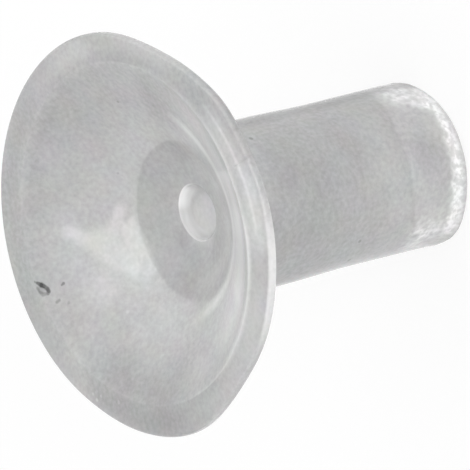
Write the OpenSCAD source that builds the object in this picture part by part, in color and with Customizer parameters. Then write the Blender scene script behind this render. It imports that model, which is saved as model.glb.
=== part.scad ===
// Shelf support pin with a suction cup head, moulded in one piece from soft clear plastic.
//
// The round stem presses into a shelf hole, and the cup turns its open side to the shelf
// and grips it. Millimetres. The origin is the centre of the stem's flat free end, and
// +Z runs along the stem and out of the cup's mouth.

/* [Stem] */
// Diameter of the stem, a press fit in a 5 mm shelf hole
stem_d = 5; // [3:0.1:8]
// Length of the stem, from its free end to where the cup's back meets it
stem_l = 8.5; // [4:0.1:20]
// Radius of the edge round the stem's free end
stem_edge_r = 0.2; // [0.05:0.05:0.8]
// Radius of the fillet where the stem runs into the cup's back
root_fillet_r = 0.17; // [0.05:0.01:0.4]

/* [Cup] */
// Diameter over the cup's lip
cup_d = 12; // [10:0.1:20]
// Height of the cup's wall over the stem's side, from its back up to the bowl
root_wall = 0.58; // [0.4:0.02:1.5]

/* [Lip] */
// Width of the flat ring that lies on the shelf
lip_w = 0.91; // [0.4:0.01:1.5]
// Thickness of the lip at its outer edge
lip_t = 0.25; // [0.22:0.01:0.5]
// Radius of the lip's two outer corners
lip_edge_r = 0.08; // [0.02:0.01:0.1]
// Radius of the crease between the flat ring and the bowl
crease_r = 0.12; // [0.05:0.01:0.5]

/* [Bowl] */
// Slope of the bowl's conical flank below the plane of the lip, in degrees
bowl_slope = 32; // [20:1:42]
// Radius of the sphere that rounds the bowl's bottom
bowl_bottom_r = 4.1; // [2.6:0.1:6]

/* [Gate dimple] */
// Diameter of the dimple that the mould's gate leaves in the bowl's bottom
dimple_d = 1.74; // [0.8:0.02:2]
// Depth of the dimple below its own rim
dimple_depth = 0.3; // [0.1:0.02:0.8]
// Radius where the dimple's wall meets its floor
dimple_corner_r = 0.22; // [0.05:0.01:0.3]
// How far the dimple's centre lies from the axis along X
dimple_x = 0.15; // [-0.2:0.01:0.2]
// How far the dimple's centre lies from the axis along Y
dimple_y = -0.13; // [-0.2:0.01:0.2]

/* [Hidden] */
$fn = 96;

// Largest turn between two points of a rounded corner, and of the bowl's bottom
corner_step = 10;
bowl_step = 3;

stem_r = stem_d / 2;
cup_r = cup_d / 2;
bowl_r = cup_r - lip_w;

// Where the conical flank touches the bottom sphere: its radius, and its depth below the lip
touch_r = bowl_bottom_r * sin(bowl_slope);
touch_depth = (bowl_r - touch_r) * tan(bowl_slope);

// Depth of the bottom sphere's centre below the plane of the lip, less than 0 above it
sphere_depth = touch_depth - bowl_bottom_r * cos(bowl_slope);

// Depth of the bowl below the plane of the lip at a distance r from the axis
function bowl_depth(r) =
    r > touch_r
    ? (bowl_r - r) * tan(bowl_slope)
    : sphere_depth + sqrt(pow(bowl_bottom_r, 2) - r * r);

// Height of the lip's plane: the cup's back meets the stem a wall's height under the bowl
lip_z = stem_l + bowl_depth(stem_r) + root_wall;

dimple_r = dimple_d / 2;
dimple_floor_z = lip_z - bowl_depth(dimple_r) - dimple_depth;

function unit(v) = v / norm(v);

// The points that round a corner of an outline: an arc of radius r that touches the
// sides towards the points before and after the corner. A corner of radius 0 stays sharp.
function corner_points(before, corner, after, r) =
    let (
        to_before = unit(before - corner),
        to_after = unit(after - corner),
        half_angle = acos(to_before * to_after) / 2,
        centre = corner + unit(to_before + to_after) * r / sin(half_angle),
        start = corner + to_before * r / tan(half_angle) - centre,
        turn = sign(cross(to_after, to_before)) * (180 - 2 * half_angle),
        steps = ceil(abs(turn) / corner_step)
    )
    r == 0
    ? [corner]
    : [
        for (k = [0 : steps])
        let (a = atan2(start.y, start.x) + turn * k / steps)
        centre + r * [cos(a), sin(a)]
    ];

// A closed outline with rounded corners, from a list of [[x, y], radius], counterclockwise
function rounded(corners) =
    let (n = len(corners))
    [
        for (i = [0 : n - 1])
        each corner_points(
            corners[(i + n - 1) % n][0],
            corners[i][0],
            corners[(i + 1) % n][0],
            corners[i][1]
        )
    ];

// Half section of the moulding: out along the free end, up the stem, out along the cup's
// back, round the lip, over the crease, down the bowl's flank and along its round bottom
module section() {
    bowl_steps = ceil(bowl_slope / bowl_step);
    bowl_bottom = [
        for (k = [bowl_steps : -1 : 0])
        let (a = bowl_slope * k / bowl_steps)
        [[bowl_bottom_r * sin(a), lip_z - sphere_depth - bowl_bottom_r * cos(a)], 0]
    ];
    polygon(rounded(concat(
        [
            [[0, 0], 0],
            [[stem_r, 0], stem_edge_r],
            [[stem_r, stem_l], root_fillet_r],
            [[cup_r, lip_z - lip_t], lip_edge_r],
            [[cup_r, lip_z], lip_edge_r],
            [[bowl_r, lip_z], crease_r]
        ],
        bowl_bottom
    )));
}

// Half section of the dimple's space, up to the plane of the lip, on its own axis
module dimple_section() {
    polygon(rounded([
        [[0, dimple_floor_z], 0],
        [[dimple_r, dimple_floor_z], dimple_corner_r],
        [[dimple_r, lip_z], 0],
        [[0, lip_z], 0]
    ]));
}

// The whole moulding
module suction_pin() {
    color([0.80, 0.80, 0.80])
        difference() {
            rotate_extrude() section();
            translate([dimple_x, dimple_y, 0]) rotate_extrude() dimple_section();
        }
}

suction_pin();
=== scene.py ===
"""Dresses a shelf support pin: one soft, milky clear moulding with a suction cup on a round stem.

The moulding is a surface of revolution worked out on a grid of profile points and angles.
Its sizes and the places of its marks are in millimetres, and its mesh is written in metres,
like the frame. The sizes of the camera, the lamps and the floor are in metres.
"""

import logging
import math
from dataclasses import dataclass, field
from typing import Union

import bpy
import numpy as np
from mathutils import Matrix, Vector


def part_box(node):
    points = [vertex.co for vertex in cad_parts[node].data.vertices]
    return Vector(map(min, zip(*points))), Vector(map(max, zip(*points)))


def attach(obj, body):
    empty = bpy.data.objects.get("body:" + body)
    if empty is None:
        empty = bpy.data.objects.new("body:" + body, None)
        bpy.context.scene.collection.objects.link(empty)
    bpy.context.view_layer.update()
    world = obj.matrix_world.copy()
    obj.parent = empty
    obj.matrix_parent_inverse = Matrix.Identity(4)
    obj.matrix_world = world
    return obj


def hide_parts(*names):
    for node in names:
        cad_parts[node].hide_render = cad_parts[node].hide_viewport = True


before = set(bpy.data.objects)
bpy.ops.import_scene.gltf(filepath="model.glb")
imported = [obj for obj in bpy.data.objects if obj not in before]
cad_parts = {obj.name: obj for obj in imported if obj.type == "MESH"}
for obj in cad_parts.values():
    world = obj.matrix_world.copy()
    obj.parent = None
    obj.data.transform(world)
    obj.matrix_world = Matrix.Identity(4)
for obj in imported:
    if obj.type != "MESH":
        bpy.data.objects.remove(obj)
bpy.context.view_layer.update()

log = logging.getLogger("shelf_pin")

MM = 0.001
NODE = "suction_pin"
BODY = "root"
SLOT = "clear_soft_plastic"

# A Place is X and Y, or X and Z. A Span is where something begins and where it is full.
Array = np.ndarray
Place = tuple[float, float]
Point = tuple[float, float, float]
Span = tuple[float, float]
Socket = bpy.types.NodeSocket
Value = Union[float, tuple, Socket]

# Vectors for the nodes: FLAT drops Z, EVEN is 1 in each channel, and MIDDLE is a noise's middle.
FLAT = (1.0, 1.0, 0.0)
EVEN = (1.0, 1.0, 1.0)
MIDDLE = (0.5, 0.5, 0.5)


def arc(centre: Place, radius: float, start: float, end: float, count: int) -> Array:
    """Points along a circular arc.

    Args:
        centre: The arc's centre, as distance from the axis and height.
        radius: The arc's radius.
        start: Angle of the first point in degrees, from straight outwards towards up.
        end: Angle of the last point in degrees.
        count: How many points.

    Returns:
        An array of (distance, height) rows: centre + radius * (cos angle, sin angle).
    """
    angle = np.radians(np.linspace(start, end, count))
    return np.stack([centre[0] + radius * np.cos(angle), centre[1] + radius * np.sin(angle)], axis=1)


def line(start: Place, end: Place, count: int) -> Array:
    """Points evenly along a straight line, without its two ends.

    Args:
        start: The line's start, as distance from the axis and height.
        end: The line's end.
        count: How many points lie between the ends.

    Returns:
        An array of (distance, height) rows: start + share * (end - start).
    """
    share = np.linspace(0.0, 1.0, count + 2)[1:-1, None]
    return np.array(start) + share * (np.array(end) - np.array(start))


def smooth_step(low: float, high: float, value: Array) -> Array:
    """Rises from 0 at low to 1 at high along 3t^2 - 2t^3, where t is the share of the way.

    Args:
        low: Where the rise starts.
        high: Where it ends.
        value: The values to place on it.

    Returns:
        The shares, between 0 and 1.
    """
    share = np.clip((value - low) / (high - low), 0.0, 1.0)
    return share * share * (3.0 - 2.0 * share)


@dataclass(frozen=True)
class Bend:
    """A place where the soft lip or free end is drawn in or hangs down: a bell round a heading.

    Where inwards is below 0, it is pushed out.
    """

    side_deg: float
    spread_deg: float
    inwards: float = 0.0
    down: float = 0.0


@dataclass(frozen=True)
class Rows:
    """How many points each stretch of the half section has, from the free end to the dimple."""

    end: int = 24
    end_edge: int = 10
    stem: int = 60
    root: int = 9
    back: int = 40
    under_edge: int = 7
    lip_side: int = 2
    upper_edge: int = 9
    lip_face: int = 14
    crease: int = 6
    bowl: int = 63
    dimple_rim: int = 7
    dimple_corner: int = 9
    dimple_floor: int = 8


@dataclass
class SuctionPin:
    """The whole moulding: a solid stem, a cup with a flat lip, and a dimple in the cup's bowl.

    Heights run from the stem's free end up to the plane of the lip. The stem is thinner by
    waist between the heights of waist_full, and less so towards the free end and towards
    waist_end_h.
    """

    cup_r: float
    lip_z: float
    stem_r: float = 2.5
    stem_l: float = 8.5
    stem_edge_r: float = 0.2
    root_fillet_r: float = 0.17
    lip_w: float = 0.91
    lip_t: float = 0.25
    lip_edge_r: float = 0.08
    crease_r: float = 0.12
    bowl_slope: float = 32.0
    bowl_bottom_r: float = 4.1
    dimple_r: float = 0.87
    dimple_depth: float = 0.3
    dimple_corner_r: float = 0.26
    dimple_rim_r: float = 0.05
    dimple_x: float = 0.15
    dimple_y: float = -0.13
    rows: Rows = field(default_factory=Rows)
    bend_start: float = 0.1
    bends: tuple[Bend, ...] = (
        Bend(62.0, 19.0, inwards=0.2),
        Bend(-60.0, 18.0, inwards=0.17),
        Bend(0.0, 24.0, down=0.12),
        Bend(-88.0, 15.0, inwards=-0.08),
        Bend(-128.0, 14.0, inwards=0.05),
        Bend(172.0, 45.0, inwards=-0.06),
        Bend(30.0, 9.0, inwards=-0.08),
    )
    waist: float = 0.064
    waist_full: Span = (0.25, 3.3)
    waist_end_h: float = 5.9
    end_bends: tuple[Bend, ...] = (
        Bend(60.0, 32.0, inwards=0.055),
        Bend(-60.0, 19.0, inwards=-0.11),
    )
    end_bend_h: float = 0.8
    nick_deg: float = 12.7
    nick_start_r: float = 5.45
    nick_run_in: float = 0.1
    nick_half: float = 0.04
    nick_depth: float = 0.035
    end_wear: float = 0.02
    end_wear_h: float = 0.5
    wear_waves: tuple[tuple[int, float], ...] = ((7, 0.3), (13, 1.9), (23, 4.1), (41, 2.6))
    wear_skew: float = 9.0
    around: int = 288
    around_nick: int = 28
    nick_span_deg: float = 1.6

    @property
    def bowl_r(self) -> float:
        """Radius of the crease between the flat lip and the bowl."""
        return self.cup_r - self.lip_w

    @property
    def crease_reach(self) -> float:
        """How far the crease's arc reaches along each of its two sides."""
        return self.crease_r * math.tan(math.radians(self.bowl_slope) / 2)

    @property
    def touch_r(self) -> float:
        """Radius at which the bowl's conical flank runs on into its bottom sphere."""
        return self.bowl_bottom_r * math.sin(math.radians(self.bowl_slope))

    @property
    def sphere_z(self) -> float:
        """Height of the bottom sphere's centre."""
        slope = math.radians(self.bowl_slope)
        touch_z = self.lip_z - (self.bowl_r - self.touch_r) * math.tan(slope)
        return touch_z + self.bowl_bottom_r * math.cos(slope)

    def bowl_z(self, distance: Array) -> Array:
        """Height of the bowl's surface: the sphere near the axis, and the cone outside it.

        Args:
            distance: Distances from the axis.

        Returns:
            The surface's heights there.
        """
        inside = np.minimum(distance, self.touch_r)
        sphere = self.sphere_z - np.sqrt(self.bowl_bottom_r**2 - inside**2)
        cone = self.lip_z - (self.bowl_r - distance) * math.tan(math.radians(self.bowl_slope))
        return np.where(distance > self.touch_r, cone, sphere)

    @property
    def floor_z(self) -> float:
        """Height of the dimple's flat floor."""
        return float(self.bowl_z(np.array(self.dimple_r))) - self.dimple_depth

    def on_bowl(self, at: Place) -> Point:
        """The point of the bowl's surface, or of the lip's face round it, above this place."""
        return (*at, min(float(self.bowl_z(np.array(math.hypot(*at)))), self.lip_z))

    def on_stem(self, at: Place) -> Point:
        """The point on the front of the stem at this X and Z."""
        radius = self.stem_r - float(self.thinning(np.array(at[1])))
        return (at[0], -math.sqrt(radius**2 - at[0] ** 2), at[1])

    def thinning(self, height: Array) -> Array:
        """How much the soft stem's radius falls short of stem_r at these heights."""
        full_from, full_to = self.waist_full
        rise = smooth_step(0.0, full_from, height)
        return self.waist * rise * smooth_step(self.waist_end_h, full_to, height)

    def outer_profile(self) -> Array:
        """The half section from the middle of the free end to the crease round the bowl.

        Returns:
            An array of (distance, height) rows: out along the end, up the stem, out along
            the cup's back, round the lip and in along its flat ring. Each corner is an arc
            that touches both of its sides.
        """
        under_z = self.lip_z - self.lip_t
        back_slope = math.atan2(under_z - self.stem_l, self.cup_r - self.stem_r)
        back_deg = math.degrees(back_slope)
        reach = math.tan((math.pi / 2 - back_slope) / 2)
        back_reach = self.lip_edge_r * reach
        root_reach = self.root_fillet_r * reach
        along_back = np.array([math.cos(back_slope), math.sin(back_slope)])
        back_start = np.array([self.stem_r, self.stem_l]) + along_back * root_reach
        back_end = np.array([self.cup_r, under_z]) - along_back * back_reach
        end_r = self.stem_r - self.stem_edge_r
        root_z = self.stem_l - root_reach
        fillet_r, edge = self.root_fillet_r, self.lip_edge_r
        rim_r = self.cup_r - edge
        face_r = self.bowl_r + self.crease_reach
        crease_deg = 90 + self.bowl_slope
        rows = self.rows
        return np.concatenate([
            line((0.0, 0.0), (end_r, 0.0), rows.end),
            arc((end_r, self.stem_edge_r), self.stem_edge_r, -90, 0, rows.end_edge),
            line((self.stem_r, self.stem_edge_r), (self.stem_r, root_z), rows.stem),
            arc((self.stem_r + fillet_r, root_z), fillet_r, 180, 90 + back_deg, rows.root),
            line(tuple(back_start), tuple(back_end), rows.back),
            arc((rim_r, under_z + back_reach), edge, back_deg - 90, 0, rows.under_edge),
            line((self.cup_r, under_z + back_reach), (self.cup_r, self.lip_z - edge), rows.lip_side),
            arc((rim_r, self.lip_z - edge), edge, 0, 90, rows.upper_edge),
            line((rim_r, self.lip_z), (face_r, self.lip_z), rows.lip_face),
            arc((face_r, self.lip_z - self.crease_r), self.crease_r, 90, crease_deg, rows.crease),
        ])

    def bowl_rings(self) -> Array:
        """Ring radii down the bowl, from just inside the crease to the dimple's rim."""
        crease_end = self.bowl_r - self.crease_reach * math.cos(math.radians(self.bowl_slope))
        return np.linspace(crease_end, self.dimple_r, self.rows.bowl + 1)[1:]

    def angles(self) -> Array:
        """The grid's angles from +X towards +Y in radians: even, and closer at the nick."""
        nick = math.radians(self.nick_deg - 90.0) % (2.0 * math.pi)
        span = math.radians(self.nick_span_deg)
        even = np.linspace(0.0, 2.0 * np.pi, self.around, endpoint=False)
        close = np.linspace(nick - span, nick + span, self.around_nick)
        return np.sort(np.concatenate([even[np.abs(even - nick) > span], close]))

    def worn(self, grid: Array, angle: Array) -> Array:
        """Gives the plain outer surface the shape that use has left it.

        The lip bends by amount * exp(-(turn / spread)^2) at each bend, growing from just
        outside the crease to the edge. The nick is a groove of depth * exp(-(across / half)^2)
        in the lip's face. The stem is thinner in its middle. Its free end bends as the lip
        does, and the end's edge is worn in by a sum of sines of angle and height.

        Args:
            grid: Ring by angle by (x, y, z).
            angle: The grid's angles.

        Returns:
            The new grid.
        """
        x, y, z = np.moveaxis(grid, 2, 0)
        distance = np.hypot(x, y)
        on_lip = smooth_step(self.bowl_r + self.bend_start, self.cup_r, distance)
        inwards, down = self.bent(self.bends, angle)[:, None, :] * on_lip

        fade = smooth_step(self.end_wear_h, 0.0, z) * smooth_step(0.0, self.stem_r, distance)
        ripple = sum(
            np.sin(count * angle + phase + self.wear_skew * step * z)
            for step, (count, phase) in enumerate(self.wear_waves)
        )
        inwards = inwards + self.end_wear * fade * (0.5 + ripple / (2 * len(self.wear_waves)))
        inwards = inwards + self.thinning(z)
        near_end = smooth_step(self.end_bend_h, 0.0, z)
        inwards = inwards + self.bent(self.end_bends, angle)[0] * near_end
        share = 1.0 - inwards / np.maximum(distance, self.dimple_r)

        nick = math.radians(self.nick_deg - 90.0)
        across = y * math.cos(nick) - x * math.sin(nick)
        along = x * math.cos(nick) + y * math.sin(nick)
        low, high = self.nick_start_r - self.nick_run_in, self.nick_start_r + self.nick_run_in
        groove = np.exp(-((across / self.nick_half) ** 2)) * smooth_step(low, high, along)
        on_face = smooth_step(self.lip_z - self.lip_t, self.lip_z, z)
        down = down + self.nick_depth * groove * on_face
        return np.stack([x * share, y * share, z - down], axis=2)

    def bent(self, bends: tuple[Bend, ...], angle: Array) -> Array:
        """Adds up bends round the axis, each as amount * exp(-(turn / spread)^2).

        Args:
            bends: The bends.
            angle: Angles from +X towards +Y in radians.

        Returns:
            A row of how far inwards and a row of how far down, one value per angle.
        """
        facing = np.degrees(angle) + 90.0
        bent = np.zeros((2, len(angle)))
        for bend in bends:
            turn = (facing - bend.side_deg + 180.0) % 360.0 - 180.0
            bell = np.exp(-((turn / bend.spread_deg) ** 2))
            bent += np.outer((bend.inwards, bend.down), bell)
        return bent

    def build(self) -> bpy.types.Object:
        """Makes the moulding's mesh as one closed grid with a pole at each end.

        Returns:
            The new object, at the origin, smooth-shaded, in metres.
        """
        angle = self.angles()
        turn = np.stack([np.cos(angle), np.sin(angle)], axis=1)

        outer = self.outer_profile()
        outer_grid = np.concatenate(
            [
                outer[:, None, :1] * turn[None],
                np.repeat(outer[:, None, 1:], len(angle), axis=1),
            ],
            axis=2,
        )
        outer_grid = self.worn(outer_grid, angle)

        # Down the bowl the rings slide from the pin's axis to the dimple's, and each
        # point takes its height from the bowl's surface under it.
        rings = self.bowl_rings()
        slide = 1.0 - smooth_step(self.dimple_r, self.touch_r, rings)
        shift = np.array([self.dimple_x, self.dimple_y])
        bowl_xy = slide[:, None, None] * shift + rings[:, None, None] * turn[None]
        bowl_grid = np.concatenate(
            [bowl_xy, self.bowl_z(np.linalg.norm(bowl_xy, axis=2))[..., None]], axis=2
        )

        # The dimple hangs from its own rim, which follows the bowl: its rings are given
        # as a radius and a share of the way from the rim down to the flat floor.
        floor_z = self.floor_z
        dimple = self.dimple_profile()
        dimple_xy = shift + dimple[:, None, :1] * turn[None]
        rim_z = bowl_grid[-1, :, 2]
        dimple_z = floor_z + (rim_z - floor_z) * dimple[:, 1:]
        dimple_grid = np.concatenate([dimple_xy, dimple_z[..., None]], axis=2)

        grid = np.concatenate([outer_grid, bowl_grid, dimple_grid])
        poles = np.array([[0.0, 0.0, 0.0], [self.dimple_x, self.dimple_y, floor_z]])
        return self.to_object(grid, poles)

    def dimple_profile(self) -> Array:
        """The dimple's half section as (radius, height) rows, with the rim at 1 and the floor at 0."""
        wall_r = self.dimple_r - self.dimple_rim_r
        corner_r, rows = self.dimple_corner_r, self.rows
        round_rim = arc((self.dimple_r, 0.0), self.dimple_rim_r, 90, 180, rows.dimple_rim + 1)
        rim_depth = self.dimple_rim_r - round_rim[:, 1]
        rim = np.stack([round_rim[:, 0], 1.0 - rim_depth / self.dimple_depth], axis=1)
        top_z = float(rim[-1, 1])
        corner = arc((wall_r - corner_r, corner_r), corner_r, 0, -90, rows.dimple_corner + 1)
        corner[:, 1] *= top_z / corner_r
        floor = line((wall_r - corner_r, 0.0), (0.0, 0.0), rows.dimple_floor)
        return np.concatenate([rim[1:], corner[1:], floor])

    def to_object(self, grid: Array, poles: Array) -> bpy.types.Object:
        """Turns rings of points into a closed mesh of quads, with a fan of triangles at each pole.

        Args:
            grid: Ring by angle by (x, y, z), in millimetres.
            poles: The centre of the first ring and of the last.

        Returns:
            The object, linked to the scene.
        """
        rings, around = grid.shape[:2]
        index = np.arange(rings * around).reshape(rings, around)
        following = np.roll(index, -1, axis=1)
        quads = np.stack([index[:-1], following[:-1], following[1:], index[1:]], axis=2).reshape(-1, 4)
        first, last = rings * around, rings * around + 1
        start_fan = np.stack([following[0], index[0], np.full(around, first)], axis=1)
        end_fan = np.stack([index[-1], following[-1], np.full(around, last)], axis=1)
        points = np.concatenate([grid.reshape(-1, 3), poles]) * MM

        mesh = bpy.data.meshes.new(NODE)
        mesh.from_pydata(
            points.tolist(), [], quads.tolist() + start_fan.tolist() + end_fan.tolist()
        )
        mesh.polygons.foreach_set("use_smooth", np.ones(len(mesh.polygons), dtype=bool))
        mesh.update()
        pin = bpy.data.objects.new("soft_pin", mesh)
        bpy.context.collection.objects.link(pin)
        return pin


@dataclass(frozen=True)
class Blotches:
    """A noise: its blotches to a millimetre, its finer layers, and how much it counts for."""

    per_mm: float
    layers: float
    share: float = 1.0


class Bench:
    """A node tree, with one short call for each kind of node that the finishes are made of."""

    def __init__(self, tree: bpy.types.NodeTree) -> None:
        """Keeps the tree that the nodes go into."""
        self.tree = tree

    def put(self, value: Value, socket: Socket) -> None:
        """Links a socket to an input, or writes a plain value on it."""
        if isinstance(value, Socket):
            self.tree.links.new(value, socket)
        else:
            socket.default_value = value

    def math(self, operation: str, *values: Value) -> Socket:
        """Places a Math node.

        Args:
            operation: The node's operation.
            values: Its inputs in order, each a socket or a number.

        Returns:
            The result.
        """
        node = self.tree.nodes.new("ShaderNodeMath")
        node.operation = operation
        for value, socket in zip(values, node.inputs):
            self.put(value, socket)
        return node.outputs["Value"]

    def vector(self, operation: str, *values: Value) -> Socket:
        """Places a Vector Math node.

        Args:
            operation: The node's operation.
            values: Its vector inputs in order, each a socket or three numbers.

        Returns:
            The result, a number for a length, a distance or a dot product.
        """
        node = self.tree.nodes.new("ShaderNodeVectorMath")
        node.operation = operation
        for value, socket in zip(values, node.inputs):
            self.put(value, socket)
        is_number = operation in ("LENGTH", "DISTANCE", "DOT_PRODUCT")
        return node.outputs["Value" if is_number else "Vector"]

    def scale(self, vector: Value, factor: Value) -> Socket:
        """Multiplies a vector by a number."""
        node = self.tree.nodes.new("ShaderNodeVectorMath")
        node.operation = "SCALE"
        self.put(vector, node.inputs[0])
        self.put(factor, node.inputs["Scale"])
        return node.outputs["Vector"]

    def rise(self, value: Value, low: Value, high: Value) -> Socket:
        """Goes smoothly from 0 where the value is low to 1 where it is high, either way round.

        Args:
            value: The value to place.
            low: Where the result is 0.
            high: Where the result is 1.

        Returns:
            The share, between 0 and 1.
        """
        node = self.tree.nodes.new("ShaderNodeMapRange")
        node.interpolation_type = "SMOOTHSTEP"
        for given, name in ((value, "Value"), (low, "From Min"), (high, "From Max")):
            self.put(given, node.inputs[name])
        return node.outputs["Result"]

    def noise(self, where: Value, blotches: Blotches, output: str = "Fac") -> Socket:
        """Places a Noise Texture.

        Args:
            where: The place in millimetres.
            blotches: Its size and its layers.
            output: The output to use, "Fac" or "Color".

        Returns:
            The noise, between 0 and 1 with its middle at 0.5.
        """
        node = self.tree.nodes.new("ShaderNodeTexNoise")
        self.put(where, node.inputs["Vector"])
        node.inputs["Scale"].default_value = blotches.per_mm
        node.inputs["Detail"].default_value = blotches.layers
        return node.outputs[output]

    def swing(self, where: Value, blotches: Blotches) -> Socket:
        """A noise that swings round 0, between -1 and 1: 2 * noise - 1."""
        return self.math("MULTIPLY_ADD", self.noise(where, blotches), 2.0, -1.0)

    def group(self, group: bpy.types.NodeTree, **inputs: Value) -> Socket:
        """Places a node group.

        Args:
            group: The group.
            inputs: Its inputs by name, with _ for a space.

        Returns:
            The group's first output.
        """
        node = self.tree.nodes.new("ShaderNodeGroup")
        node.node_tree = group
        for name, value in inputs.items():
            self.put(value, node.inputs[name.replace("_", " ")])
        return node.outputs[0]


def new_group(name: str, inputs: dict[str, str]) -> tuple[Bench, bpy.types.Node, Socket]:
    """Starts a shader node group that puts out one mask.

    Args:
        name: The group's name.
        inputs: The kind of each input, "Vector" or "Float", by its name.

    Returns:
        A bench on the group's tree, the node that gives its inputs, and the socket for the mask.
    """
    tree = bpy.data.node_groups.new(name, "ShaderNodeTree")
    for label, kind in inputs.items():
        tree.interface.new_socket(label, in_out="INPUT", socket_type=f"NodeSocket{kind}")
    tree.interface.new_socket("Mask", in_out="OUTPUT", socket_type="NodeSocketFloat")
    given = tree.nodes.new("NodeGroupInput")
    result = tree.nodes.new("NodeGroupOutput")
    return Bench(tree), given, result.inputs["Mask"]


def spot_group() -> bpy.types.NodeTree:
    """A round spot: 1 within Radius of Centre, falling smoothly to 0 over Edge."""
    bench, given, mask = new_group(
        "spot", {"Where": "Vector", "Centre": "Vector", "Radius": "Float", "Edge": "Float"}
    )
    far = bench.vector("DISTANCE", given.outputs["Where"], given.outputs["Centre"])
    limit = bench.math("ADD", given.outputs["Radius"], given.outputs["Edge"])
    bench.put(bench.rise(far, limit, given.outputs["Radius"]), mask)
    return bench.tree


def streak_group() -> bpy.types.NodeTree:
    """A tapered streak: 1 within the half width of the line from Start to End, then fading.

    The nearest point of the line is Start + t * (End - Start), with t the dot product of
    (Where - Start) and (End - Start) over that line's length squared, held between 0 and 1.
    """
    bench, given, mask = new_group(
        "streak",
        {
            "Where": "Vector",
            "Start": "Vector",
            "End": "Vector",
            "Start Half": "Float",
            "End Half": "Float",
            "Edge": "Float",
        },
    )
    along = bench.vector("SUBTRACT", given.outputs["End"], given.outputs["Start"])
    out = bench.vector("SUBTRACT", given.outputs["Where"], given.outputs["Start"])
    share = bench.math(
        "DIVIDE", bench.vector("DOT_PRODUCT", out, along), bench.vector("DOT_PRODUCT", along, along)
    )
    share = bench.math("MINIMUM", bench.math("MAXIMUM", share, 0.0), 1.0)
    far = bench.vector("DISTANCE", out, bench.scale(along, share))
    grown = bench.math("SUBTRACT", given.outputs["End Half"], given.outputs["Start Half"])
    half = bench.math("MULTIPLY_ADD", grown, share, given.outputs["Start Half"])
    limit = bench.math("ADD", half, given.outputs["Edge"])
    bench.put(bench.rise(far, limit, half), mask)
    return bench.tree


def ring_group() -> bpy.types.NodeTree:
    """A line round the pin: 1 at Radius from Axis, fading to 0 over Half on each side of it.

    It shows on one side only. The cosine between the way out from the axis and the level
    direction Side is Reach where the line begins, and Full where it is full.
    """
    bench, given, mask = new_group(
        "ring",
        {
            "Where": "Vector",
            "Axis": "Vector",
            "Radius": "Float",
            "Half": "Float",
            "Side": "Vector",
            "Reach": "Float",
            "Full": "Float",
        },
    )
    flat = bench.vector("MULTIPLY", given.outputs["Where"], FLAT)
    out = bench.vector("SUBTRACT", flat, given.outputs["Axis"])
    off = bench.math("SUBTRACT", bench.vector("LENGTH", out), given.outputs["Radius"])
    line_mask = bench.rise(bench.math("ABSOLUTE", off), given.outputs["Half"], 0.0)
    facing = bench.vector("DOT_PRODUCT", bench.vector("NORMALIZE", out), given.outputs["Side"])
    side_mask = bench.rise(facing, given.outputs["Reach"], given.outputs["Full"])
    bench.put(bench.math("MULTIPLY", line_mask, side_mask), mask)
    return bench.tree


def grey(level: float) -> tuple[float, float, float, float]:
    """A plain grey, as a node's colour."""
    return (level, level, level, 1.0)


def heading(degrees: float) -> Point:
    """The level direction at this angle from -Y, the pin's front, towards +X."""
    angle = math.radians(degrees)
    return (math.sin(angle), -math.cos(angle), 0.0)


@dataclass(frozen=True)
class Spot:
    """A round mark, with how much lighter or darker it is than the plastic round it.

    at is X and Y for a mark in the bowl, and X and Z for one on the front of the stem.
    """

    at: Place
    radius: float
    edge: float
    gain: float


@dataclass(frozen=True)
class Streak:
    """A tapered mark in the bowl."""

    start: Place
    end: Place
    start_half: float
    end_half: float
    edge: float
    gain: float


@dataclass(frozen=True)
class Ring:
    """A line round the cup, on the side that faces side_deg.

    reach and full are cosines of the turn from there: where it begins, and where it is full.
    """

    radius: float
    half: float
    gain: float
    side_deg: float
    reach: float
    full: float
    axis: Place = (0.0, 0.0)


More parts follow.
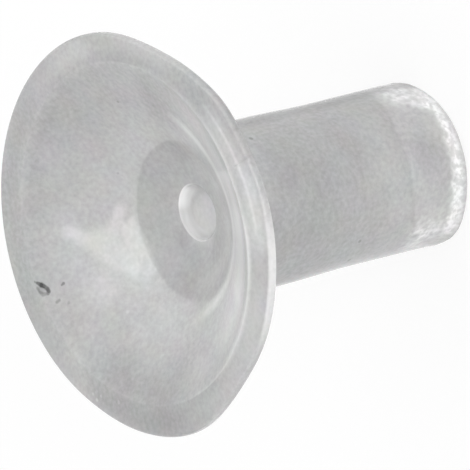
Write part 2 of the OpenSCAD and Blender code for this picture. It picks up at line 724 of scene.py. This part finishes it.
@dataclass
class Stencils:
    """Gives the mask of each mark on the moulding, at the place where, in millimetres.

    The groups behind the masks are each made once. The lines round the cup show above the
    heights of cup_below, taken from the dimple's floor down, and those in the dimple end
    within rim_soft of its rim.
    """

    bench: Bench
    where: Value
    pin: SuctionPin
    cup_below: Span = (0.2, 0.1)
    rim_soft: float = 0.02

    def __post_init__(self) -> None:
        """Works out how high each place is, how far out, and which way out it lies."""
        self.spot_kind = spot_group()
        self.streak_kind = streak_group()
        self.ring_kind = ring_group()
        split = self.bench.tree.nodes.new("ShaderNodeSeparateXYZ")
        self.bench.put(self.where, split.inputs["Vector"])
        self.height = split.outputs["Z"]
        self.flat = self.bench.vector("MULTIPLY", self.where, FLAT)
        self.distance = self.bench.vector("LENGTH", self.flat)
        self.outwards = self.bench.vector("NORMALIZE", self.flat)
        self.across = self.towards(90.0)

    def towards(self, side_deg: float) -> Socket:
        """The cosine of the turn between the way out and this heading."""
        return self.bench.vector("DOT_PRODUCT", self.outwards, heading(side_deg))

    def spot(self, centre: Point, mark: Spot) -> Socket:
        """The mask of a round mark.

        Args:
            centre: The mark's middle, on the moulding's surface.
            mark: Its radius and its soft edge.

        Returns:
            1 on the mark and 0 away from it.
        """
        return self.bench.group(
            self.spot_kind, Where=self.where, Centre=centre, Radius=mark.radius, Edge=mark.edge
        )

    def bowl_spot(self, mark: Spot) -> Socket:
        """The mask of a round mark in the bowl or on the lip's face."""
        return self.spot(self.pin.on_bowl(mark.at), mark)

    def stem_spot(self, mark: Spot) -> Socket:
        """The mask of a round mark on the front of the stem."""
        return self.spot(self.pin.on_stem(mark.at), mark)

    def streak(self, mark: Streak) -> Socket:
        """The mask of a tapered mark in the bowl.

        Args:
            mark: The streak's two ends, its half widths there, and its soft edge.

        Returns:
            1 on the streak and 0 away from it.
        """
        return self.bench.group(
            self.streak_kind,
            Where=self.where,
            Start=self.pin.on_bowl(mark.start),
            End=self.pin.on_bowl(mark.end),
            Start_Half=mark.start_half,
            End_Half=mark.end_half,
            Edge=mark.edge,
        )

    def ring(self, mark: Ring) -> Socket:
        """The mask of a line round the cup.

        Args:
            mark: The line's radius, half width, side and axis.

        Returns:
            1 along the middle of the line on its own side, and 0 on the stem below the cup.
        """
        mask = self.bench.group(
            self.ring_kind,
            Where=self.where,
            Axis=(*mark.axis, 0.0),
            Radius=mark.radius,
            Half=mark.half,
            Side=heading(mark.side_deg),
            Reach=mark.reach,
            Full=mark.full,
        )
        low, high = (self.pin.floor_z - below for below in self.cup_below)
        return self.bench.math("MULTIPLY", mask, self.bench.rise(self.height, low, high))

    def dimple_ring(self, mark: Ring) -> Socket:
        """The mask of a line round the inside of the dimple's wall.

        Args:
            mark: The line, round the dimple's own axis.

        Returns:
            The line's mask, cut off at the dimple's rim.
        """
        out = self.bench.vector("DISTANCE", self.flat, (*mark.axis, 0.0))
        rim_r = self.pin.dimple_r
        inside = self.bench.rise(out, rim_r + self.rim_soft, rim_r - self.rim_soft)
        return self.bench.math("MULTIPLY", self.ring(mark), inside)


@dataclass(frozen=True)
class Marks:
    """Where the moulding is lighter or darker than its own grey: real flaws and flecks, and painted
    highlights and painted shade. Places are in millimetres.
    """

    # Painted highlights and painted shade round the cup: bright lines at the crease and the lip's
    # edge, a lighter strip inside the near wall, and darker bands on the lip.
    rings: tuple[Ring, ...] = (
        Ring(5.1, 0.18, 0.15, 0.0, 0.2, 0.8),
        Ring(5.02, 0.25, 0.25, -15.0, 0.6, 0.9),
        Ring(3.45, 0.32, 0.42, -15.0, 0.3, 0.7, (0.54, 0.65)),
        Ring(1.95, 0.7, 0.22, -50.0, 0.5, 0.95),
        Ring(2.9, 0.8, 0.25, 5.0, 0.1, 0.7),
        Ring(4.0, 1.5, 0.5, -10.0, 0.2, 0.9),
        Ring(5.5, 0.65, 0.3, 8.0, 0.85, 0.98),
        Ring(5.5, 0.65, 0.24, -52.0, 0.8, 0.97),
        Ring(6.03, 0.16, 0.55, -38.0, 0.7, 0.97),
        Ring(5.75, 0.3, 0.12, -2.0, 0.965, 0.99),
        Ring(5.55, 0.1, 0.25, 12.0, 0.9, 0.98),
        Ring(5.6, 0.6, -0.11, 135.0, 0.8, 0.97),
        Ring(5.6, 0.6, -0.04, -165.0, 0.8, 0.97),
        Ring(5.55, 0.5, 0.15, 88.0, 0.6, 0.9),
        Ring(4.8, 0.3, -0.07, 120.0, 0.6, 0.9),
        Ring(5.15, 0.3, -0.06, 104.0, 0.93, 0.99),
        Ring(5.65, 0.6, -0.1, -110.0, 0.88, 0.98),
        Ring(5.0, 0.35, 0.3, -15.0, 0.97, 0.995),
        Ring(3.7, 1.2, 0.35, -22.0, 0.9, 0.985),
        Ring(6.03, 0.16, 0.22, -27.0, 0.93, 0.99),
    )
    # A painted highlight: the bright crescent on the dimple's far wall.
    dimple_wall_highlight: Ring = Ring(0.86, 0.32, 1.15, 175.0, -0.3, 0.5, (0.15, -0.13))
    # A painted glow on the same wall, strongest on one side; it goes into the emission.
    dimple_painted_glow: Ring = Ring(0.86, 0.25, 2.0, 134.0, 0.8, 1.0, (0.15, -0.13))
    # A painted highlight: an X-shaped gleam low in the bowl, made of five streaks.
    star_highlight_gain: float = 0.27
    star_highlight: tuple[Streak, ...] = (
        Streak((0.5, 3.9), (-0.1, 3.2), 0.0, 0.12, 0.36, 1.0),
        Streak((0.8, 2.4), (-0.1, 3.0), 0.0, 0.15, 0.3, 1.0),
        Streak((0.35, 2.25), (-1.05, 2.0), 0.0, 0.15, 0.3, 1.0),
        Streak((0.15, 2.42), (-0.4, 2.35), 0.12, 0.15, 0.25, 1.0),
        Streak((-0.05, 3.1), (-0.9, 2.4), 0.25, 0.12, 0.45, 1.0),
    )
    flaws: tuple[Streak, ...] = (
        Streak((-0.65, 5.12), (-0.7, 5.03), 0.0, 0.015, 0.05, -0.42),
        Streak((-0.7, 5.03), (-0.785, 4.93), 0.015, 0.045, 0.05, -0.75),
        Streak((-0.785, 4.93), (-0.865, 4.84), 0.045, 0.03, 0.055, -0.72),
        Streak((-0.865, 4.84), (-0.94, 4.785), 0.03, 0.035, 0.055, -0.66),
        Streak((-0.94, 4.785), (-1.02, 4.76), 0.035, 0.035, 0.055, -0.72),
        Streak((-1.02, 4.76), (-1.07, 4.79), 0.035, 0.03, 0.055, -0.55),
        Streak((-1.07, 4.79), (-1.07, 4.92), 0.01, 0.03, 0.06, -0.38),
        Streak((-1.07, 4.92), (-0.98, 5.01), 0.03, 0.02, 0.06, -0.38),
        Streak((-0.98, 5.01), (-0.85, 5.06), 0.02, 0.02, 0.06, -0.3),
        Streak((-0.935, 4.395), (-0.9, 4.34), 0.0, 0.02, 0.05, -0.6),
        Streak((-1.385, 4.58), (-1.345, 4.505), 0.01, 0.01, 0.06, -0.35),
    )
    # Real dark and light flecks (the smallest spots), and larger soft patches of painted light and
    # painted shade in the bowl and on the lip.
    specks_and_painted_light: tuple[Spot, ...] = (
        Spot((-0.79, 4.93), 0.02, 0.05, -0.25),
        Spot((-0.93, 4.94), 0.09, 0.05, -0.13),
        Spot((-0.88, 4.99), 0.05, 0.06, -0.08),
        Spot((-1.48, 4.26), 0.02, 0.05, -0.22),
        Spot((0.48, -3.54), 0.03, 0.05, -0.3),
        Spot((3.84, 0.25), 0.02, 0.04, -0.25),
        Spot((1.82, 1.98), 0.02, 0.04, -0.2),
        Spot((-2.16, 2.59), 0.03, 0.05, 0.15),
        Spot((-4.65, 2.66), 0.03, 0.06, 0.2),
        Spot((-4.43, 3.63), 0.02, 0.06, 0.3),
        Spot((-4.23, 3.74), 0.02, 0.05, 0.2),
        Spot((-4.35, 3.4), 0.02, 0.05, 0.2),
        Spot((-4.1, 2.9), 0.3, 1.3, -0.13),
        Spot((-5.1, 1.2), 0.5, 1.7, -0.13),
        Spot((-2.2, 2.2), 0.4, 1.6, 0.08),
        Spot((0.5, 0.7), 1.0, 3.2, 0.16),
        Spot((0.3, 4.2), 0.3, 1.0, 0.1),
        Spot((-1.0, 3.6), 0.3, 0.9, 0.1),
        Spot((-3.1, 1.2), 0.4, 1.3, 0.1),
        Spot((-0.45, 0.78), 0.12, 0.35, -0.09),
        Spot((1.5, -1.35), 0.3, 0.8, 0.13),
        Spot((-1.32, 3.24), 0.2, 0.5, 0.07),
        Spot((-3.2, -0.54), 0.2, 0.6, 0.06),
        Spot((-4.96, -1.14), 0.3, 0.8, -0.08),
        Spot((-1.3, -1.95), 0.15, 0.5, 0.08),
        Spot((-1.05, 1.96), 0.15, 0.35, -0.12),
        Spot((2.58, -1.6), 0.15, 0.6, -0.1),
        Spot((-4.13, 1.3), 0.3, 0.9, 0.06),
        Spot((-5.17, -2.12), 0.2, 0.9, -0.06),
        Spot((-0.05, -0.13), 0.5, 0.4, 0.26),
    )
    # Real flecks on the stem (the smallest spots), and larger soft patches of painted light and
    # painted shade near the root and the free end.
    stem_specks_and_painted_light: tuple[Spot, ...] = (
        Spot((-1.81, 3.98), 0.03, 0.06, -0.3),
        Spot((-2.27, 3.96), 0.03, 0.07, -0.3),
        Spot((1.86, 6.98), 0.035, 0.06, -0.35),
        Spot((0.94, 8.0), 0.5, 0.9, 0.07),
        Spot((0.2, 1.3), 0.2, 0.6, -0.12),
        Spot((-1.0, 2.2), 0.3, 0.9, 0.08),
        Spot((-1.7, 2.7), 0.3, 0.9, 0.08),
        Spot((0.2, 2.8), 0.3, 0.8, 0.06),
        Spot((-0.53, 2.85), 0.2, 1.1, 0.08),
        Spot((0.73, 1.35), 0.2, 0.7, -0.07),
        Spot((1.45, 3.15), 0.2, 1.1, 0.05),
        Spot((0.94, 6.87), 0.3, 1.0, -0.06),
        Spot((-2.37, 6.2), 0.2, 0.8, -0.12),
    )

    def gain(self, at: Stencils) -> Socket:
        """Adds up how much lighter the marks make the plastic, painted highlights and painted shade
        included.

        Where streaks of the painted star_highlight or of the flaws lie over each other, only the
        strongest counts.

        Args:
            at: The stencils for the place being coloured.

        Returns:
            The gain, below 0 where the plastic is darker.
        """
        bench = at.bench
        star_highlight: Value = 0.0
        for mark in self.star_highlight:
            star_highlight = bench.math("MAXIMUM", star_highlight, bench.math("MULTIPLY", at.streak(mark), mark.gain))
        flaws: Value = 0.0
        for mark in self.flaws:
            flaws = bench.math("MINIMUM", flaws, bench.math("MULTIPLY", at.streak(mark), mark.gain))
        total = bench.math("MULTIPLY_ADD", star_highlight, self.star_highlight_gain, flaws)
        masks = [(at.bowl_spot(mark), mark.gain) for mark in self.specks_and_painted_light]
        masks += [(at.stem_spot(mark), mark.gain) for mark in self.stem_specks_and_painted_light]
        masks += [(at.ring(mark), mark.gain) for mark in self.rings]
        masks.append((at.dimple_ring(self.dimple_wall_highlight), self.dimple_wall_highlight.gain))
        for mask, gain in masks:
            total = bench.math("MULTIPLY_ADD", mask, gain, total)
        return total

    def glow(self, at: Stencils) -> Socket:
        """A painted glow: emission standing in for the light that the dimple's wall catches on one
        side.

        Args:
            at: The stencils for the place being coloured.

        Returns:
            The wall's mask times its gain.
        """
        return at.bench.math("MULTIPLY", at.dimple_ring(self.dimple_painted_glow), self.dimple_painted_glow.gain)


@dataclass(frozen=True)
class PaintedShade:
    """Painted shade: where whole surfaces are darker, on the stem's skin and the lip's outer edge.

    The stem's gain goes from stem_end_gain to stem_root_gain between the heights of
    stem_rise, and side_gain joins it on the +X side, between the two cosines of side. It
    goes out inwards between the depths of skin, and upwards between the heights of root,
    taken from the stem's top. The lip's gain goes out inwards between the depths of
    lip_edge, and upwards from the underside to lip_top under the lip's plane.
    """

    stem_end_gain: float = -0.05
    stem_root_gain: float = -0.1
    stem_rise: Span = (1.5, 6.0)
    skin: Span = (0.6, 0.2)
    root: Span = (0.1, -0.3)
    side_gain: float = -0.4
    side: Span = (0.84, 0.99)
    lip_edge_gain: float = -0.1
    lip_edge: Span = (0.12, 0.04)
    lip_top: float = 0.05

    def gain(self, at: Stencils) -> Socket:
        """How much painted shade darkens the stem's skin and the lip's edge.

        Args:
            at: The stencils for the place being coloured.

        Returns:
            The gain, 0 on the rest of the moulding.
        """
        bench, pin = at.bench, at.pin
        skin = bench.rise(at.distance, *(pin.stem_r - depth for depth in self.skin))
        below_cup = bench.rise(at.height, *(pin.stem_l + height for height in self.root))
        up = bench.rise(at.height, *self.stem_rise)
        shade = bench.math(
            "MULTIPLY_ADD", up, self.stem_root_gain - self.stem_end_gain, self.stem_end_gain
        )
        side = bench.rise(at.across, *self.side)
        shade = bench.math("MULTIPLY_ADD", side, self.side_gain, shade)
        shade = bench.math("MULTIPLY", shade, bench.math("MULTIPLY", skin, below_cup))
        down = bench.rise(at.height, pin.lip_z - self.lip_top, pin.lip_z - pin.lip_t)
        edge = bench.rise(at.distance, *(pin.cup_r - depth for depth in self.lip_edge))
        lip = bench.math("MULTIPLY", down, edge)
        return bench.math("MULTIPLY_ADD", lip, self.lip_edge_gain, shade)


@dataclass(frozen=True)
class Frost:
    """The white roughened band round the front of the stem's free end.

    The band is height high, with lean added on the +X side and taken off on the -X side,
    and its limit wavers up and down. It fades out over edge, and thins to rim_share towards
    the end face, over the heights of rim. It goes out towards the sides, between the two
    cosines of front, where three patches reach higher, broken up by the waver. Flecks thin
    all of it. It also glows a little where it is rough: a painted glow, emission standing in
    for light that runs down inside the stem and comes out there.
    """

    height: float = 0.74
    lean: float = -0.16
    waver: Blotches = Blotches(3.2, 0.8, 0.2)
    edge: float = 0.38
    rim: Span = (0.05, 0.36)
    rim_share: float = 0.2
    front: Span = (0.3, 0.6)
    flecks: Blotches = Blotches(7.2, 3.0, 0.5)
    flecked: Span = (0.36, 0.62)
    gain: float = 0.7
    # A painted glow: emission on the frosting, standing in for light.
    glow: float = 0.11
    roughness: float = 0.08
    relief: float = 3.0
    break_up: float = 1.75
    patches: tuple[Spot, ...] = (
        Spot((2.0, 0.92), 0.2, 0.7, 0.62),
        Spot((1.65, 0.45), 0.15, 0.45, 0.9),
        Spot((-2.05, 1.3), 0.1, 1.1, 0.52),
    )

    def mask(self, at: Stencils) -> Socket:
        """The frosting's mask.

        Args:
            at: The stencils for the place being coloured.

        Returns:
            The largest of the band, rise(height, limit, limit - edge), and the patches, which
            the waver breaks up, all thinned by flecks.
        """
        bench = at.bench
        waver = bench.swing(at.where, self.waver)
        limit = bench.math("MULTIPLY_ADD", at.across, self.lean, self.height)
        limit = bench.math("MULTIPLY_ADD", waver, self.waver.share, limit)
        band = bench.rise(at.height, limit, bench.math("SUBTRACT", limit, self.edge))
        rim = bench.rise(at.height, *self.rim)
        rim = bench.math("MULTIPLY_ADD", rim, 1.0 - self.rim_share, self.rim_share)
        front = bench.rise(at.towards(0.0), *self.front)
        band = bench.math("MULTIPLY", bench.math("MULTIPLY", band, rim), front)
        broken = bench.math("MULTIPLY_ADD", waver, self.break_up, 1.0)
        for patch in self.patches:
            mask = bench.math("MULTIPLY", at.stem_spot(patch), patch.gain)
            mask = bench.math("MULTIPLY", mask, broken)
            band = bench.math("MAXIMUM", band, bench.math("MINIMUM", mask, 1.0))
        fleck = bench.rise(bench.noise(at.where, self.flecks), *self.flecked)
        fleck = bench.math("MULTIPLY_ADD", fleck, self.flecks.share, 1.0 - self.flecks.share)
        return bench.math("MULTIPLY", band, fleck)


@dataclass(frozen=True)
class MilkyPlastic:
    """Soft clear plastic with a little milk in it: it lets light through, greys with depth,
    and scatters some at its skin."""

    transmission: float = 0.38
    roughness: float = 0.12
    gloss: Blotches = Blotches(1.1, 3.0, 0.5)
    ior: float = 1.5
    albedo: float = 0.56
    subsurface: float = 1.0
    subsurface_mm: float = 0.5
    depth_colour: float = 0.5
    depth_density: float = 120.0
    specular: float = 0.5
    clouds: Blotches = Blotches(0.45, 4.0, 0.16)
    grain: Blotches = Blotches(7.0, 2.0, 0.2)
    tint: Blotches = Blotches(1.035, 3.0, 0.05)
    mottle: Blotches = Blotches(3.2, 3.0)
    mottled: Spot = Spot((-2.6, 2.4), 1.5, 2.0, 0.1)
    peel: Blotches = Blotches(1.6, 1.0)
    peel_mm: float = 0.004
    fine: Blotches = Blotches(9.0, 2.0)
    darkest: float = 0.05
    lightest: float = 0.97
    frost: Frost = field(default_factory=Frost)
    painted_shade: PaintedShade = field(default_factory=PaintedShade)
    marks: Marks = field(default_factory=Marks)

    def build(self, pin: SuctionPin) -> bpy.types.Material:
        """Makes the material.

        Args:
            pin: The moulding that it goes on, whose sizes place its marks.

        Returns:
            A Principled material with a plain absorption inside.
        """
        material = bpy.data.materials.new(SLOT)
        material.use_nodes = True
        tree = material.node_tree
        shader = tree.nodes["Principled BSDF"]
        shader.inputs["IOR"].default_value = self.ior
        shader.inputs["Specular IOR Level"].default_value = self.specular
        shader.inputs["Transmission Weight"].default_value = self.transmission
        shader.inputs["Subsurface Weight"].default_value = self.subsurface
        shader.inputs["Subsurface Radius"].default_value = EVEN
        shader.inputs["Subsurface Scale"].default_value = self.subsurface_mm * MM
        shader.inputs["Emission Strength"].default_value = self.frost.glow
        depth = tree.nodes.new("ShaderNodeVolumeAbsorption")
        depth.inputs["Color"].default_value = grey(self.depth_colour)
        depth.inputs["Density"].default_value = self.depth_density
        tree.links.new(depth.outputs["Volume"], tree.nodes["Material Output"].inputs["Volume"])

        bench = Bench(tree)
        place = tree.nodes.new("ShaderNodeTexCoord").outputs["Object"]
        at = Stencils(bench, bench.scale(place, 1.0 / MM), pin)
        frost = self.frost.mask(at)
        bench.put(self.colour(at, frost), shader.inputs["Base Color"])
        # Emission: a painted glow on the frosting and on one side of the dimple's wall.
        bench.put(bench.math("ADD", frost, self.marks.glow(at)), shader.inputs["Emission Color"])
        bench.put(self.rough(at, frost), shader.inputs["Roughness"])
        bench.put(self.relief(at, frost), shader.inputs["Normal"])
        return material

    def colour(self, at: Stencils, frost: Value) -> Socket:
        """The plastic's grey, clouded, grained and faintly tinted, with its marks, its painted
        highlights and its painted shade.

        Args:
            at: The stencils for the place being coloured.
            frost: The frosting's mask.

        Returns:
            albedo * (1 + gain), held between darkest and lightest, times the tint.
        """
        bench = at.bench
        # The marks bring painted highlights and painted shade beside real flaws and flecks; the second
        # gain adds painted shade on the stem and the lip's edge.
        gain = bench.math("ADD", self.marks.gain(at), self.painted_shade.gain(at))
        gain = bench.math("MULTIPLY_ADD", frost, self.frost.gain, gain)
        for blotches in (self.clouds, self.grain):
            swing = bench.swing(at.where, blotches)
            gain = bench.math("MULTIPLY_ADD", swing, blotches.share, gain)
        mottle = bench.swing(at.where, self.mottle)
        mottle = bench.math("MULTIPLY", mottle, at.bowl_spot(self.mottled))
        gain = bench.math("MULTIPLY_ADD", mottle, self.mottled.gain, gain)
        tone = bench.math("MULTIPLY_ADD", gain, self.albedo, self.albedo)
        tone = bench.math("MINIMUM", bench.math("MAXIMUM", tone, self.darkest), self.lightest)
        tint = bench.noise(at.where, self.tint, "Color")
        tint = bench.scale(bench.vector("SUBTRACT", tint, MIDDLE), self.tint.share * 2)
        return bench.scale(bench.vector("ADD", tint, EVEN), tone)

    def rough(self, at: Stencils, frost: Value) -> Socket:
        """The skin's uneven gloss.

        Args:
            at: The stencils for the place being coloured.
            frost: The frosting's mask.

        Returns:
            roughness * (1 + share * swing), and more where there is frost.
        """
        bench = at.bench
        swing = bench.swing(at.where, self.gloss)
        uneven = self.roughness * self.gloss.share
        rough = bench.math("MULTIPLY_ADD", swing, uneven, self.roughness)
        return bench.math("MULTIPLY_ADD", frost, self.frost.roughness, rough)

    def relief(self, at: Stencils, frost: Value) -> Socket:
        """The skin's slight waviness, with a finer one in the frosting.

        Args:
            at: The stencils for the place being coloured.
            frost: The frosting's mask.

        Returns:
            The bumped normal.
        """
        bench = at.bench
        fine = bench.math("MULTIPLY", frost, bench.noise(at.where, self.fine))
        peel = bench.noise(at.where, self.peel)
        height = bench.math("MULTIPLY_ADD", fine, self.frost.relief, peel)
        bump = bench.tree.nodes.new("ShaderNodeBump")
        bump.inputs["Strength"].default_value = 1.0
        bump.inputs["Distance"].default_value = self.peel_mm * MM
        bench.put(height, bump.inputs["Height"])
        return bump.outputs["Normal"]


@dataclass(frozen=True)
class View:
    """A parallel view of the pin from over its lip, rolled so that the stem runs to the right.

    tilt_deg is the angle between the line of sight and the pin's axis, and roll_deg turns
    the picture in its own plane. The middle of the lip's plane lies at the two offsets from
    the picture's upper left corner, along the drawn axis and across it.
    """

    tilt_deg: float = 51.7
    roll_deg: float = 14.1
    frame_px: int = 470
    px_per_mm: float = 34.36
    lip_centre_axial_px: float = 73.9
    lip_centre_across_px: float = 259.4
    distance: float = 0.15
    clip: Span = (0.001, 10.0)

    def axes(self) -> tuple[Vector, Vector, Vector]:
        """The picture's right, its up and the direction towards the camera, in the frame."""
        tilt, roll = math.radians(self.tilt_deg), math.radians(self.roll_deg)
        ct, st, cr, sr = math.cos(tilt), math.sin(tilt), math.cos(roll), math.sin(roll)
        return (
            Vector((-sr, -cr * ct, -cr * st)),
            Vector((cr, -sr * ct, -sr * st)),
            Vector((0.0, -st, ct)),
        )

    def centre(self, lip_z: float) -> Vector:
        """The point in the middle of the picture.

        Args:
            lip_z: Height of the lip's plane in millimetres.

        Returns:
            The point, in metres, in the plane that holds the pin's axis.
        """
        roll, tilt = math.radians(self.roll_deg), math.radians(self.tilt_deg)
        half = self.frame_px / 2
        axial = half * (math.cos(roll) - math.sin(roll)) - self.lip_centre_axial_px
        across = half * (math.sin(roll) + math.cos(roll)) - self.lip_centre_across_px
        return Vector(
            (
                -across / self.px_per_mm * MM,
                0.0,
                (lip_z - axial / (self.px_per_mm * math.sin(tilt))) * MM,
            )
        )

    def build(self, lip_z: float) -> None:
        """Makes the camera and sets it as the scene's.

        Args:
            lip_z: Height of the lip's plane in millimetres.
        """
        right, up, towards = self.axes()
        data = bpy.data.cameras.new("camera")
        data.type = "ORTHO"
        data.ortho_scale = self.frame_px / self.px_per_mm * MM
        data.clip_start, data.clip_end = self.clip
        camera = bpy.data.objects.new("camera", data)
        bpy.context.collection.objects.link(camera)
        turn = Matrix((right, up, towards)).transposed().to_4x4()
        camera.matrix_world = Matrix.Translation(self.centre(lip_z) + towards * self.distance) @ turn
        bpy.context.scene.camera = camera


@dataclass(frozen=True)
class Softbox:
    """A round soft lamp. Its direction is given in the picture: right, up and towards the camera."""

    name: str
    direction: Point
    diameter: float
    power: float
    distance: float = 0.2

    def build(self, view: View, aim: Vector) -> None:
        """Makes the lamp.

        Args:
            view: The view in whose terms the direction is given.
            aim: The point that the lamp faces.
        """
        data = bpy.data.lights.new(self.name, "AREA")
        data.shape = "DISK"
        data.size = self.diameter
        data.energy = self.power
        lamp = bpy.data.objects.new(self.name, data)
        bpy.context.collection.objects.link(lamp)
        away = sum((axis * share for axis, share in zip(view.axes(), self.direction)), Vector())
        away.normalize()
        lamp.location = aim + away * self.distance
        lamp.rotation_euler = (-away).to_track_quat("-Z", "Y").to_euler()


@dataclass
class Studio:
    """A white table in a white room, with soft lamps."""

    view: View = field(default_factory=View)
    lamps: tuple[Softbox, ...] = (
        Softbox("key", (-0.7, 0.5, 0.5), 0.3, 0.06),
        Softbox("front", (0.1, 0.1, 0.99), 0.08, 0.1),
        Softbox("edge", (0.61, 0.155, 0.777), 0.1, 0.04),
    )
    room_strength: float = 0.95
    floor_size: float = 0.6
    floor_colour: float = 0.9
    white_strength: float = 1.0
    white_on_floor: float = 0.85
    white_in_room: float = 1.0

    def build(self, lip_z: float) -> None:
        """Makes the camera, the lamps, the floor and the room's light.

        Args:
            lip_z: Height of the lip's plane in millimetres.
        """
        self.view.build(lip_z)
        aim = self.view.centre(lip_z)
        for lamp in self.lamps:
            lamp.build(self.view, aim)
        self.build_floor()
        self.build_room()
        bpy.context.scene.view_settings.view_transform = "Standard"

    def build_floor(self) -> None:
        """Makes the floor: pale, and lit from within where the camera or glass looks at it."""
        half = self.floor_size / 2
        mesh = bpy.data.meshes.new("floor")
        mesh.from_pydata(
            [(-half, -half, 0.0), (half, -half, 0.0), (half, half, 0.0), (-half, half, 0.0)],
            [],
            [(0, 1, 2, 3)],
        )
        material = bpy.data.materials.new("floor")
        material.use_nodes = True
        tree = material.node_tree
        shader = tree.nodes["Principled BSDF"]
        shader.inputs["Base Color"].default_value = grey(self.floor_colour)
        shader.inputs["Roughness"].default_value = 1.0
        glow = tree.nodes.new("ShaderNodeEmission")
        glow.inputs["Strength"].default_value = self.white_strength
        seen = white_when_seen(
            tree, self.white_on_floor, shader.outputs["BSDF"], glow.outputs["Emission"]
        )
        tree.links.new(seen, tree.nodes["Material Output"].inputs["Surface"])
        mesh.materials.append(material)
        floor = bpy.data.objects.new("floor", mesh)
        bpy.context.collection.objects.link(floor)

    def build_room(self) -> None:
        """Makes the room's even light, which is plain white where it is looked at."""
        world = bpy.data.worlds.new("room")
        bpy.context.scene.world = world
        world.use_nodes = True
        tree = world.node_tree
        room = tree.nodes["Background"]
        room.inputs["Color"].default_value = grey(1.0)
        room.inputs["Strength"].default_value = self.room_strength
        white = tree.nodes.new("ShaderNodeBackground")
        white.inputs["Color"].default_value = grey(1.0)
        white.inputs["Strength"].default_value = self.white_strength
        seen = white_when_seen(
            tree, self.white_in_room, room.outputs["Background"], white.outputs["Background"]
        )
        tree.links.new(seen, tree.nodes["World Output"].inputs["Surface"])


def white_when_seen(
    tree: bpy.types.NodeTree, share: float, plain: Socket, white: Socket
) -> Socket:
    """Mixes in a white shader for rays from the camera or out of glass or gloss, not for light.

    Args:
        tree: The node tree to add to.
        share: How much of what those rays see is white.
        plain: The shader that lights the scene.
        white: The white shader.

    Returns:
        The mixed shader.
    """
    bench = Bench(tree)
    path = tree.nodes.new("ShaderNodeLightPath")
    factor: Value = path.outputs["Is Camera Ray"]
    for name in ("Is Transmission Ray", "Is Glossy Ray"):
        factor = bench.math("MAXIMUM", factor, path.outputs[name])
    mix = tree.nodes.new("ShaderNodeMixShader")
    for shader, socket in zip((bench.math("MULTIPLY", factor, share), plain, white), mix.inputs):
        tree.links.new(shader, socket)
    return mix.outputs["Shader"]


def main() -> None:
    """Builds the pin and the studio around it."""
    logging.basicConfig(level=logging.INFO, format="%(message)s")
    _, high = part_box(NODE)
    pin = SuctionPin(cup_r=high[0] / MM, lip_z=high[2] / MM)
    log.info("moulding: lip %.2f mm across, %.2f mm high", 2 * pin.cup_r, pin.lip_z)
    piece = pin.build()
    piece.data.materials.append(MilkyPlastic().build(pin))
    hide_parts(NODE)
    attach(piece, BODY)
    Studio().build(pin.lip_z)
    log.info("piece %s rides on %s", piece.name, BODY)


if __name__ == "__main__":
    main()
